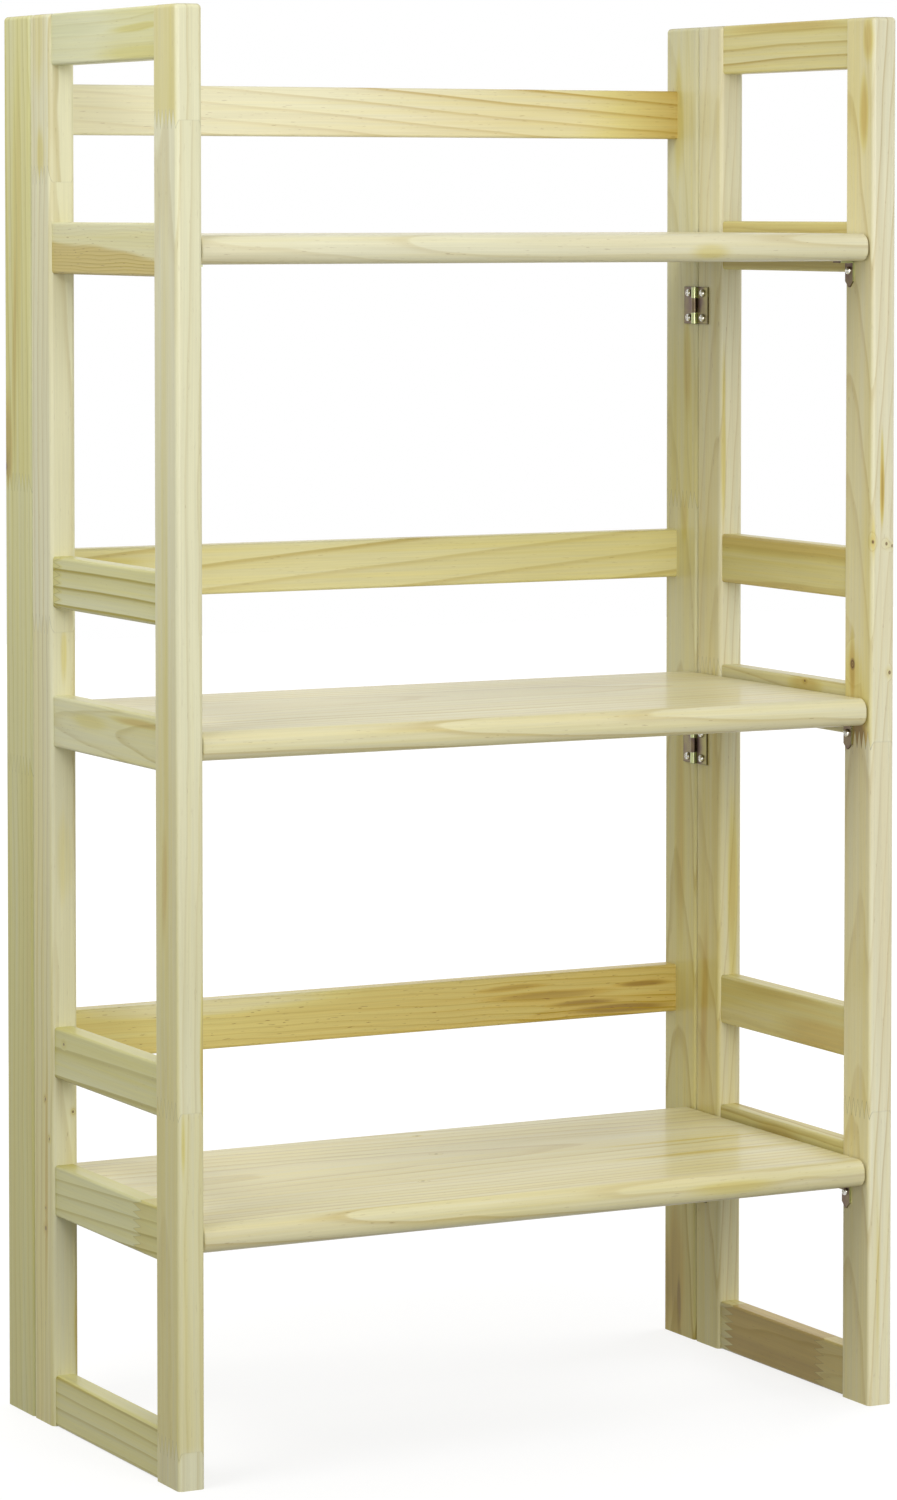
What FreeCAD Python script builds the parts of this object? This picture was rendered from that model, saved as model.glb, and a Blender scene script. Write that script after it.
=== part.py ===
# Folding bookcase in dowelled pine: a slatted back frame, two side frames hinged to it,
# and three shelves that pivot on pins in the back frame and rest on brackets in front.
# Millimetres. +Z up, the front faces -Y, the origin is on the floor under the middle.
import FreeCAD, Part
import os

import Sketcher

Vector = FreeCAD.Vector
document = FreeCAD.newDocument("FoldingBookcase")

# ---------------------------------------------------------------- driving dimensions
drivingDimensions = {
    # the whole
    "overallWidth": 546,
    "overallDepth": 286,
    "overallHeight": 965,
    # stiles: the uprights of the back frame and of the side frames
    "stileThickness": 19,
    "frontStileDepth": 36,
    "rearStileDepth": 33,
    "backStileDepth": 46,
    "stileEase": 3,
    "hingeGap": 0.6,
    # rails of the side frames and slats of the back frame
    "railHeight": 35,
    "railThickness": 15,
    "railEase": 2,
    "slatSetback": 2,
    "slatRise": 95,
    # shelves
    "shelfThickness": 19,
    "lowestShelfTop": 172,
    "shelfPitch": 322,
    "shelfSetback": 3,
    "shelfRearGap": 28,
    "shelfSideGap": 1,
    "shelfNoseRadius": 8,
    "shelfBackFlat": 0.2,
    "shelfEndEase": 1.5,
    # pivot pins
    "pivotDiameter": 6,
    "pivotInShelf": 15,
    "pivotInStile": 14,
    "pivotClearance": 0.05,
    "pivotSocketClearance": 0.02,
    # dowels
    "dowelDiameter": 6,
    "dowelInRail": 15,
    "dowelInStile": 15,
    "dowelInBackStile": 12,
    "dowelSpacing": 18,
    "dowelClearance": 0.1,
    "blindEndGap": 0.5,
    # butt hinges
    "hingeHeight": 27,
    "hingeDrop": 21,
    "leafWidth": 16.8,
    "sheetThickness": 1.2,
    "knuckleRadius": 2.1,
    "knuckleGap": 0.3,
    "middleKnuckle": 10.3,
    "pinProud": 2.6,
    "hingePinRadius": 1.1,
    "hingePinClearance": 0.05,
    "screwSetback": 9.8,
    "screwSpacing": 18,
    # wood screws
    "screwHeadRadius": 2.8,
    "screwHeadHeight": 2.2,
    "screwHeadRound": 1.7,
    "screwRadius": 1.4,
    "screwLength": 13,
    "screwPoint": 3,
    "screwHoleClearance": 0.1,
    "crossArm": 1.7,
    "crossSlot": 0.7,
    "crossDepth": 0.9,
    "drillOverrun": 1,
    # shelf brackets
    "bracketWidth": 10,
    "bracketInset": 2,
    "bracketDrop": 18,
    "bracketReach": 11,
    "bracketPoint": 4,
    "bracketTip": 1.2,
    "bracketBend": 2,
    "bracketScrewDrop": 6.5,
    "shelfRestGap": 0.3,
}

sheet = document.addObject("Spreadsheet::Sheet", "dims")
for row, (alias, size) in enumerate(drivingDimensions.items(), start=1):
    sheet.set(f"A{row}", alias)
    sheet.set(f"B{row}", str(size))
    sheet.setAlias(f"B{row}", alias)
document.recompute()

# ---------------------------------------------------------------- places worked out from them
rearPlane = "(dims.overallDepth / 2)"
frontPlane = "(-dims.overallDepth / 2)"
innerFace = "(dims.overallWidth / 2 - dims.stileThickness)"
stileMiddle = "(dims.overallWidth / 2 - dims.stileThickness / 2)"
hingeLine = f"({rearPlane} - dims.backStileDepth - dims.hingeGap / 2)"
sideFrameRear = f"({rearPlane} - dims.backStileDepth - dims.hingeGap)"
rearStileFace = f"({sideFrameRear} - dims.rearStileDepth)"
frontStileFace = f"({frontPlane} + dims.frontStileDepth)"
railLength = f"({rearStileFace} - {frontStileFace})"
railMiddle = f"(({rearStileFace} + {frontStileFace}) / 2)"
slatMiddle = f"({rearPlane} - dims.slatSetback - dims.railThickness / 2)"
pivotLine = f"({rearPlane} - dims.shelfRearGap - dims.shelfThickness / 2)"
lowestPivot = "(dims.lowestShelfTop - dims.shelfThickness / 2)"
hingeBelowPivot = "(dims.shelfThickness / 2 + dims.hingeDrop + dims.hingeHeight / 2)"
bracketBelowPivot = "(dims.shelfThickness / 2 + dims.shelfRestGap)"
bracketMiddle = f"({frontStileFace} - dims.bracketInset - dims.bracketWidth / 2)"

shelfNames = ["bottom", "middle", "top"]
pivotHeights = [f"({lowestPivot} + {step} * dims.shelfPitch)" for step in range(3)]
slatHeights = [f"({pivot} + dims.slatRise)" for pivot in pivotHeights]

# the rails of a side frame, from the floor up: one behind each shelf end, one level with
# each of the two lower slats, and one at each end of the frame
railHeights = {
    "bottom_rail": "(dims.railHeight / 2)",
    "bottom_shelf_rail": pivotHeights[0],
    "lower_rail": slatHeights[0],
    "middle_shelf_rail": pivotHeights[1],
    "upper_rail": slatHeights[1],
    "top_shelf_rail": pivotHeights[2],
    "top_rail": "(dims.overallHeight - dims.railHeight / 2)",
}
sides = {"left": -1, "right": 1}
parts = []
tolerance = 0.01      # mm, when an edge is picked by its place
shortestLength = 1    # mm, below which an edge is no length of a board
smallestCut = 1e-6    # mm3, below which a pocket has cut nothing


def value(expression):
    return float(sheet.evalExpression(expression))


def newBody(label, x="0", y="0", z="0"):
    body = document.addObject("PartDesign::Body", label)
    body.Label = label
    body.setExpression("Placement.Base.x", x)
    body.setExpression("Placement.Base.y", y)
    body.setExpression("Placement.Base.z", z)
    parts.append(body)
    return body


def originPlane(body, role):
    return next(feature for feature in body.Origin.OriginFeatures if feature.Role == role)


def newSketch(body, name, role, offset="0"):
    sketch = body.newObject("Sketcher::SketchObject", name)
    sketch.AttachmentSupport = [(originPlane(body, role), "")]
    sketch.MapMode = "FlatFace"
    sketch.setExpression("AttachmentOffset.Base.z", offset)
    return sketch


def bindDistance(sketch, kind, geometry, point, expression):
    number = sketch.addConstraint(
        Sketcher.Constraint(kind, -1, 1, geometry, point, value(expression)))
    name = f"{kind}{number}"
    sketch.renameConstraint(number, name)
    sketch.setExpression(f"Constraints.{name}", expression)


def addPolygon(sketch, corners):
    # a closed outline; each corner is a pair of expressions
    points = [Vector(value(x), value(y), 0) for x, y in corners]
    first = sketch.GeometryCount
    count = len(points)
    for index in range(count):
        sketch.addGeometry(Part.LineSegment(points[index], points[(index + 1) % count]), False)
    for index in range(count):
        following = first + (index + 1) % count
        sketch.addConstraint(Sketcher.Constraint("Coincident", first + index, 2, following, 1))
    for index, (x, y) in enumerate(corners):
        bindDistance(sketch, "DistanceX", first + index, 1, x)
        bindDistance(sketch, "DistanceY", first + index, 1, y)


def addRectangle(sketch, left, right, bottom, top):
    addPolygon(sketch, [(left, bottom), (right, bottom), (right, top), (left, top)])


def addCircle(sketch, x, y, diameter):
    centre = Vector(value(x), value(y), 0)
    circle = Part.Circle(centre, Vector(0, 0, 1), value(diameter) / 2)
    number = sketch.addGeometry(circle, False)
    size = sketch.addConstraint(Sketcher.Constraint("Diameter", number, value(diameter)))
    sketch.renameConstraint(size, f"Diameter{size}")
    sketch.setExpression(f"Constraints.Diameter{size}", diameter)
    bindDistance(sketch, "DistanceX", number, 3, x)
    bindDistance(sketch, "DistanceY", number, 3, y)


def pad(body, sketch, length, midplane=False, reverse=False):
    feature = body.newObject("PartDesign::Pad", f"{sketch.Name}Pad")
    feature.Profile = sketch
    feature.Midplane = midplane
    feature.Reversed = reverse
    feature.setExpression("Length", length)
    document.recompute()
    return feature


def pocket(body, sketch, depth):
    # cuts towards whichever side of the sketch the wood or metal is on
    before = body.Tip.Shape.Volume
    feature = body.newObject("PartDesign::Pocket", f"{sketch.Name}Pocket")
    feature.Profile = sketch
    feature.setExpression("Length", depth)
    document.recompute()
    if before - feature.Shape.Volume < smallestCut:
        feature.Reversed = True
        document.recompute()
    if before - feature.Shape.Volume < smallestCut:
        raise RuntimeError(f"{body.Label}: {sketch.Name} cuts nothing")
    return feature


def roundEdges(body, name, radius, wanted):
    base = body.Tip
    edges = [f"Edge{number}" for number, edge in enumerate(base.Shape.Edges, start=1)
             if wanted(edge.BoundBox)]
    feature = body.newObject("PartDesign::Fillet", name)
    feature.Base = (base, edges)
    feature.setExpression("Radius", radius)
    document.recompute()
    return feature


def mirror(body, original, role):
    # mirrors one feature, or the whole body so far where there is no original
    feature = body.newObject("PartDesign::Mirrored", "mirrored")
    if original is None:
        feature.TransformMode = "Whole shape"
    else:
        feature.Originals = [original]
    feature.MirrorPlane = (originPlane(body, role), [""])
    body.Tip = feature
    document.recompute()
    return feature


def drillHoles(body, name, role, offset, centres, diameter, depth):
    sketch = newSketch(body, name, role, offset)
    for x, y in centres:
        addCircle(sketch, x, y, diameter)
    return pocket(body, sketch, depth)


def runsAlong(axis):
    # true for an edge that is long in one direction only
    def wanted(box):
        lengths = {"x": box.XLength, "y": box.YLength, "z": box.ZLength}
        own = lengths.pop(axis)
        return own > shortestLength and max(lengths.values()) < tolerance
    return wanted


dowelHole = "(dims.dowelDiameter + 2 * dims.dowelClearance)"
screwHole = "(2 * dims.screwRadius + 2 * dims.screwHoleClearance)"
pilotDepth = "(dims.screwLength - dims.sheetThickness + dims.blindEndGap)"


def dowelPairs(heights, across="0"):
    # two dowels, one above the other, at each height
    pairs = []
    for height in heights:
        pairs.append((across, f"{height} - dims.dowelSpacing / 2"))
        pairs.append((across, f"{height} + dims.dowelSpacing / 2"))
    return pairs


# ---------------------------------------------------------------- stiles
def buildStile(label, x, y, near, far):
    # an upright with its long edges and top end eased; its foot is cut square
    body = newBody(label, x, y)
    profile = newSketch(body, "section", "XY_Plane")
    addRectangle(profile, "-dims.stileThickness / 2", "dims.stileThickness / 2", near, far)
    pad(body, profile, "dims.overallHeight")
    roundEdges(body, "easedEdges", "dims.stileEase", lambda box: box.ZMax > tolerance)
    return body


def buildFrontStile(name, side):
    body = buildStile(f"{name}_front_stile", f"{side} * {stileMiddle}", frontStileFace,
                      "-dims.frontStileDepth", "0")
    drillHoles(body, "dowelHoles", "XZ_Plane", "0", dowelPairs(railHeights.values()),
               dowelHole, "dims.dowelInStile + dims.blindEndGap")
    pilots = [(f"{bracketMiddle} - {frontStileFace}",
               f"{pivot} - {bracketBelowPivot} - dims.bracketScrewDrop")
              for pivot in pivotHeights]
    drillHoles(body, "bracketPilots", "YZ_Plane", f"{-side} * dims.stileThickness / 2", pilots,
               screwHole, pilotDepth)


def hingePilots(y):
    # the pilot holes for one leaf of each hinge, all on one upright line
    holes = []
    for pivot in pivotHeights:
        centre = f"{pivot} - {hingeBelowPivot}"
        for step in (-1, 1):
            holes.append((y, f"{centre} + {step} * dims.screwSpacing / 2"))
    return holes


def buildRearStile(name, side):
    body = buildStile(f"{name}_rear_stile", f"{side} * {stileMiddle}", rearStileFace,
                      "0", "dims.rearStileDepth")
    drillHoles(body, "dowelHoles", "XZ_Plane", "0", dowelPairs(railHeights.values()),
               dowelHole, "dims.dowelInStile + dims.blindEndGap")
    pilotPlace = f"{hingeLine} - dims.screwSetback - {rearStileFace}"
    drillHoles(body, "hingePilots", "YZ_Plane", f"{-side} * dims.stileThickness / 2",
               hingePilots(pilotPlace), screwHole, pilotDepth)


def buildBackStile(name, side):
    body = buildStile(f"back_stile_{name}", f"{side} * {stileMiddle}", rearPlane,
                      "-dims.backStileDepth", "0")
    innerSide = f"{-side} * dims.stileThickness / 2"
    drillHoles(body, "dowelHoles", "YZ_Plane", innerSide,
               dowelPairs(slatHeights, f"{slatMiddle} - {rearPlane}"),
               dowelHole, "dims.dowelInBackStile + dims.blindEndGap")
    bores = [(f"{pivotLine} - {rearPlane}", pivot) for pivot in pivotHeights]
    drillHoles(body, "pivotBores", "YZ_Plane", innerSide, bores,
               "dims.pivotDiameter + 2 * dims.pivotClearance",
               "dims.pivotInStile + dims.blindEndGap")
    pilotPlace = f"{hingeLine} + dims.screwSetback - {rearPlane}"
    drillHoles(body, "hingePilots", "YZ_Plane", innerSide, hingePilots(pilotPlace),
               screwHole, pilotDepth)


# ---------------------------------------------------------------- rails and slats
def buildRail(name, side, railName, height):
    body = newBody(f"{name}_{railName}", f"{side} * {stileMiddle}", railMiddle, height)
    profile = newSketch(body, "section", "XZ_Plane")
    addRectangle(profile, "-dims.railThickness / 2", "dims.railThickness / 2",
                 "-dims.railHeight / 2", "dims.railHeight / 2")
    pad(body, profile, railLength, midplane=True)
    roundEdges(body, "easedEdges", "dims.railEase", runsAlong("y"))
    holes = drillHoles(body, "dowelHoles", "XZ_Plane", f"{railLength} / 2", dowelPairs(["0"]),
                       dowelHole, "dims.dowelInRail + dims.blindEndGap")
    mirror(body, holes, "XZ_Plane")


def buildSlat(name, height):
    body = newBody(f"back_slat_{name}", "0", slatMiddle, height)
    profile = newSketch(body, "section", "YZ_Plane")
    addRectangle(profile, "-dims.railThickness / 2", "dims.railThickness / 2",
                 "-dims.railHeight / 2", "dims.railHeight / 2")
    pad(body, profile, f"2 * {innerFace}", midplane=True)
    roundEdges(body, "easedEdges", "dims.railEase", runsAlong("x"))
    holes = drillHoles(body, "dowelHoles", "YZ_Plane", innerFace, dowelPairs(["0"]),
                       dowelHole, "dims.dowelInRail + dims.blindEndGap")
    mirror(body, holes, "YZ_Plane")


# ---------------------------------------------------------------- shelves and their pins
shelfHalfWidth = f"({innerFace} - dims.shelfSideGap)"
shelfDepth = "(dims.overallDepth - dims.shelfRearGap - dims.shelfSetback)"


def buildShelf(name, pivot):
    # the board's own origin is on its pivot line, so its back edge rounds about that line
    body = newBody(f"shelf_{name}", "0", pivotLine, pivot)
    profile = newSketch(body, "section", "YZ_Plane")
    addRectangle(profile, f"dims.shelfThickness / 2 - {shelfDepth}", "dims.shelfThickness / 2",
                 "-dims.shelfThickness / 2", "dims.shelfThickness / 2")
    pad(body, profile, f"2 * {shelfHalfWidth}", midplane=True)
    isLong = runsAlong("x")
    roundEdges(body, "roundedNose", "dims.shelfNoseRadius",
               lambda box: isLong(box) and box.YMax < 0)
    backEdge = value("dims.shelfThickness / 2") - tolerance
    roundEdges(body, "roundedBack", "(dims.shelfThickness - dims.shelfBackFlat) / 2",
               lambda box: isLong(box) and box.YMin > backEdge)
    endPlane = value(shelfHalfWidth) - tolerance
    roundEdges(body, "easedEnds", "dims.shelfEndEase",
               lambda box: box.XMin > endPlane or box.XMax < -endPlane)
    holes = drillHoles(body, "pinHoles", "YZ_Plane", shelfHalfWidth, [("0", "0")],
                       "dims.pivotDiameter + 2 * dims.pivotSocketClearance",
                       "dims.pivotInShelf + dims.blindEndGap")
    mirror(body, holes, "YZ_Plane")


def buildPivotPins(name, pivot):
    # one steel pin at each end, held in the shelf and turning in the back stile
    body = newBody(f"pivot_pins_{name}", "0", pivotLine, pivot)
    profile = newSketch(body, "section", "YZ_Plane", f"{shelfHalfWidth} - dims.pivotInShelf")
    addCircle(profile, "0", "0", "dims.pivotDiameter")
    pins = pad(body, profile, "dims.pivotInShelf + dims.shelfSideGap + dims.pivotInStile")
    mirror(body, pins, "YZ_Plane")


# ---------------------------------------------------------------- dowels
def buildFrameDowels(name, side):
    body = newBody(f"{name}_frame_dowels", f"{side} * {stileMiddle}")
    length = "dims.dowelInRail + dims.dowelInStile"
    for joint, face in (("front", frontStileFace), ("rear", rearStileFace)):
        profile = newSketch(body, f"{joint}Dowels", "XZ_Plane", f"-{face}")
        for x, z in dowelPairs(railHeights.values()):
            addCircle(profile, x, z, "dims.dowelDiameter")
        pad(body, profile, length, midplane=True)


def buildBackDowels():
    body = newBody("back_frame_dowels", "0", slatMiddle)
    profile = newSketch(body, "dowels", "YZ_Plane", f"{innerFace} - dims.dowelInRail")
    for y, z in dowelPairs(slatHeights):
        addCircle(profile, y, z, "dims.dowelDiameter")
    dowels = pad(body, profile, "dims.dowelInRail + dims.dowelInBackStile")
    mirror(body, dowels, "YZ_Plane")


# ---------------------------------------------------------------- hinges
def newShape(kind, name, **sizes):
    # a Part primitive whose sizes, and place as x, y and z, are expressions
    shape = document.addObject(f"Part::{kind}", name)
    for size, expression in sizes.items():
        target = f"Placement.Base.{size}" if size in ("x", "y", "z") else size
        shape.setExpression(target, expression)
    return shape


def lyingAlongX(shape):
    shape.Placement.Rotation = FreeCAD.Rotation(Vector(0, 1, 0), 90)
    return shape


def knuckleSpans(isMiddle):
    # bottom and height of each knuckle of a leaf, measured from the hinge's mid height
    if isMiddle:
        return [("(-dims.middleKnuckle / 2)", "dims.middleKnuckle")]
    height = "((dims.hingeHeight - dims.middleKnuckle) / 2 - dims.knuckleGap)"
    return [("(-dims.hingeHeight / 2)", height), (f"(dims.hingeHeight / 2 - {height})", height)]


def buildLeaf(label, side, towards, isMiddle, centre):
    # side is +1 on the right frame; towards is +1 for the leaf that runs to the back
    pinX = f"({side} * ({innerFace} - dims.pinProud))"
    sheetX = f"({side} * {innerFace})" if side < 0 else f"({innerFace} - dims.sheetThickness)"
    plateInner = "(dims.knuckleRadius + dims.knuckleGap)"
    plateWidth = f"(dims.leafWidth - {plateInner})"
    plateY = f"{hingeLine} + {plateInner}" if towards > 0 else f"{hingeLine} - dims.leafWidth"
    tabY = hingeLine if towards > 0 else f"{hingeLine} - {plateInner}"
    pieces = [newShape("Box", "plate", Length="dims.sheetThickness", Width=plateWidth,
                       Height="dims.hingeHeight", x=sheetX, y=plateY,
                       z=f"{centre} - dims.hingeHeight / 2")]
    bores = []
    for bottom, height in knuckleSpans(isMiddle):
        pieces.append(newShape("Box", "tab", Length="dims.sheetThickness", Width=plateInner,
                               Height=height, x=sheetX, y=tabY, z=f"{centre} + {bottom}"))
        pieces.append(newShape("Cylinder", "knuckle", Radius="dims.knuckleRadius",
                               Height=height, x=pinX, y=hingeLine, z=f"{centre} + {bottom}"))
    bores.append(newShape("Cylinder", "pinBore", Height="dims.hingeHeight + 2 * dims.drillOverrun",
                          Radius="dims.hingePinRadius + dims.hingePinClearance", x=pinX,
                          y=hingeLine, z=f"{centre} - dims.hingeHeight / 2 - dims.drillOverrun"))
    for step in (-1, 1):
        hole = newShape("Cylinder", "screwHole", Radius=f"{screwHole} / 2",
                        Height="dims.sheetThickness + 2 * dims.drillOverrun",
                        x=f"{sheetX} - dims.drillOverrun",
                        y=f"{hingeLine} + {towards} * dims.screwSetback",
                        z=f"{centre} + {step} * dims.screwSpacing / 2")
        bores.append(lyingAlongX(hole))
    metal = document.addObject("Part::MultiFuse", f"{label}_metal")
    metal.Shapes = pieces
    holes = document.addObject("Part::MultiFuse", f"{label}_holes")
    holes.Shapes = bores
    leaf = document.addObject("Part::Cut", label)
    leaf.Label = label
    leaf.Base = metal
    leaf.Tool = holes
    parts.append(leaf)


def buildHinge(name, side, shelfName, pivot):
    # the back leaf has the middle knuckle and the frame leaf the two outer ones
    centre = f"({pivot} - {hingeBelowPivot})"
    label = f"{name}_hinge_{shelfName}"
    buildLeaf(f"{label}_back_leaf", side, 1, True, centre)
    buildLeaf(f"{label}_frame_leaf", side, -1, False, centre)
    pin = newShape("Cylinder", f"{label}_pin", Radius="dims.hingePinRadius",
                   Height="dims.hingeHeight", x=f"{side} * ({innerFace} - dims.pinProud)",
                   y=hingeLine, z=f"{centre} - dims.hingeHeight / 2")
    pin.Label = f"{label}_pin"
    parts.append(pin)


# ---------------------------------------------------------------- screws
def repeatAlong(body, role, length, count):
    # copies the whole body so far, count times over the length, square to an origin plane
    feature = body.newObject("PartDesign::LinearPattern", "repeat")
    feature.TransformMode = "Whole shape"
    feature.Direction = (originPlane(body, role), [""])
    feature.setExpression("Length", length)
    feature.Occurrences = count
    body.Tip = feature
    document.recompute()


def buildScrews(label, y, z, repeats):
    # pan head wood screws driven outwards through the sheet metal; the first one is drawn
    # and the others, on both sides of the bookcase, repeat it
    body = newBody(label, "0", y, z)
    under = f"({innerFace} - dims.sheetThickness)"
    crown = f"({under} - dims.screwHeadHeight)"
    profile = newSketch(body, "section", "XY_Plane")
    addPolygon(profile, [(crown, "0"), (crown, "dims.screwHeadRadius"),
                         (under, "dims.screwHeadRadius"), (under, "dims.screwRadius"),
                         (f"{under} + dims.screwLength - dims.screwPoint", "dims.screwRadius"),
                         (f"{under} + dims.screwLength", "0")])
    screw = body.newObject("PartDesign::Revolution", "screw")
    screw.Profile = profile
    screw.ReferenceAxis = (profile, ["H_Axis"])
    screw.Angle = 360
    document.recompute()
    crownPlane = value(crown) + tolerance
    roundEdges(body, "panHead", "dims.screwHeadRound", lambda box: box.XMax < crownPlane)
    recess = newSketch(body, "crossRecess", "YZ_Plane", crown)
    arm = "dims.crossArm"
    slot = "dims.crossSlot / 2"
    quarter = [(slot, arm), (slot, slot), (arm, slot)]
    corners = []
    for xSign, ySign in ((1, 1), (1, -1), (-1, -1), (-1, 1)):
        ordered = quarter if xSign == ySign else reversed(quarter)
        corners += [(f"{xSign} * {x}", f"{ySign} * {y}") for x, y in ordered]
    addPolygon(recess, corners)
    pocket(body, recess, "dims.crossDepth")
    for role, length, count in repeats:
        repeatAlong(body, role, length, count)
    mirror(body, None, "YZ_Plane")


def buildAllScrews():
    shelfRun = "2 * dims.shelfPitch"
    buildScrews("hinge_screws", f"{hingeLine} + dims.screwSetback",
                f"{lowestPivot} - {hingeBelowPivot} - dims.screwSpacing / 2",
                [("XZ_Plane", "2 * dims.screwSetback", 2),
                 ("XY_Plane", "dims.screwSpacing", 2),
                 ("XY_Plane", shelfRun, 3)])
    buildScrews("bracket_screws", bracketMiddle,
                f"{lowestPivot} - {bracketBelowPivot} - dims.bracketScrewDrop",
                [("XY_Plane", shelfRun, 3)])


# ---------------------------------------------------------------- shelf brackets
def buildBracket(name, side, shelfName, pivot):
    # an angle of bent sheet: a pointed leaf on the stile and a flange under the shelf
    body = newBody(f"{name}_bracket_{shelfName}", f"{side} * {innerFace}", bracketMiddle,
                   f"{pivot} - {bracketBelowPivot}")
    leaf = newSketch(body, "leaf", "YZ_Plane")
    shoulder = "(dims.bracketPoint - dims.bracketDrop)"
    addPolygon(leaf, [("-dims.bracketWidth / 2", "0"),
                      ("-dims.bracketWidth / 2", shoulder),
                      ("-dims.bracketTip / 2", "-dims.bracketDrop"),
                      ("dims.bracketTip / 2", "-dims.bracketDrop"),
                      ("dims.bracketWidth / 2", shoulder),
                      ("dims.bracketWidth / 2", "0")])
    pad(body, leaf, "dims.sheetThickness", reverse=side > 0)
    flange = newSketch(body, "flange", "XY_Plane")
    reach = f"({-side} * dims.bracketReach)"
    addRectangle(flange, "0", reach, "-dims.bracketWidth / 2", "dims.bracketWidth / 2")
    pad(body, flange, "dims.sheetThickness", reverse=True)
    thickness = value("dims.sheetThickness")
    isBend = runsAlong("y")
    roundEdges(body, "outerBend", "dims.bracketBend",
               lambda box: isBend(box) and abs(box.XMax) < tolerance and box.ZMin > -tolerance)
    roundEdges(body, "innerBend", "dims.bracketBend - dims.sheetThickness",
               lambda box: isBend(box) and abs(abs(box.XMax) - thickness) < tolerance
               and abs(box.ZMax + thickness) < tolerance)
    drillHoles(body, "screwHole", "YZ_Plane", "0", [("0", "-dims.bracketScrewDrop")],
               screwHole, "dims.sheetThickness")


# ---------------------------------------------------------------- assembly
for name, side in sides.items():
    buildBackStile(name, side)
    buildFrontStile(name, side)
    buildRearStile(name, side)
    for railName, height in railHeights.items():
        buildRail(name, side, railName, height)
    buildFrameDowels(name, side)
    for shelfName, pivot in zip(shelfNames, pivotHeights):
        buildHinge(name, side, shelfName, pivot)
        buildBracket(name, side, shelfName, pivot)
for shelfName, pivot, height in zip(shelfNames, pivotHeights, slatHeights):
    buildSlat(shelfName, height)
    buildShelf(shelfName, pivot)
    buildPivotPins(shelfName, pivot)
buildBackDowels()
buildAllScrews()
document.recompute()

# ---------------------------------------------------------------- checks and files
for item in document.Objects:
    if "Invalid" in item.State or "Error" in item.State:
        raise RuntimeError(f"{item.Label} failed: {item.State}")
for item in parts:
    if item.Shape.isNull() or not item.Shape.isValid():
        raise RuntimeError(f"{item.Label} has no valid shape")
os.makedirs("parts", exist_ok=True)
for item in parts:
    item.Shape.exportStep(f"parts/{item.Label}.step")
    print(f"{item.Label}: {len(item.Shape.Solids)} solid, {item.Shape.Volume / 1000:.2f} cm3")
print(f"{len(parts)} parts")
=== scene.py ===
import math

import bpy
from mathutils import Euler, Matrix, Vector


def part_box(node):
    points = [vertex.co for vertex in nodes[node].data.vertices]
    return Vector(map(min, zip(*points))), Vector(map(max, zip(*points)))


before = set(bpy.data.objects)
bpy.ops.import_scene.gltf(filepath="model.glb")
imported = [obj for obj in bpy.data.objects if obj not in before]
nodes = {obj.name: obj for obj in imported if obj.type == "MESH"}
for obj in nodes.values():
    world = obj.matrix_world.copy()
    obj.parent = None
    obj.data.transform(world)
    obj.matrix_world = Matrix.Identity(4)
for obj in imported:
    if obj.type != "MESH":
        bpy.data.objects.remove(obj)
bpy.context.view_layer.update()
scene = bpy.context.scene
print("frame loaded:", len(nodes), "nodes")


# shader maths: an expression on values adds its Math nodes to their graph
class Value:
    def __init__(self, graph, socket):
        self.graph = graph
        self.socket = socket

    def math(self, operation, *others):
        values = dict(enumerate((self, *others)))
        return self.graph.node("Math", {"operation": operation}, values)

    def __add__(self, other):
        return self.math("ADD", other)

    def __sub__(self, other):
        return self.math("SUBTRACT", other)

    def __rsub__(self, other):
        return self.graph.node("Math", {"operation": "SUBTRACT"}, {0: other, 1: self})

    def __mul__(self, other):
        return self.math("MULTIPLY", other)

    def __truediv__(self, other):
        return self.math("DIVIDE", other)

    def __gt__(self, other):
        return self.math("GREATER_THAN", other)

    def __abs__(self):
        return self.math("ABSOLUTE")

    __radd__ = __add__

    def floor(self):
        return self.math("FLOOR")

    def fraction(self):
        return self.math("FRACT")

    def clamped(self):
        return self.math("MAXIMUM", 0.0).math("MINIMUM", 1.0)

    def rise(self, low, high):
        # 0 below low, 1 above high, and a soft step between
        settings = {"interpolation_type": "SMOOTHSTEP"}
        return self.graph.node("MapRange", settings, {0: self, 1: low, 2: high})


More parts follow.
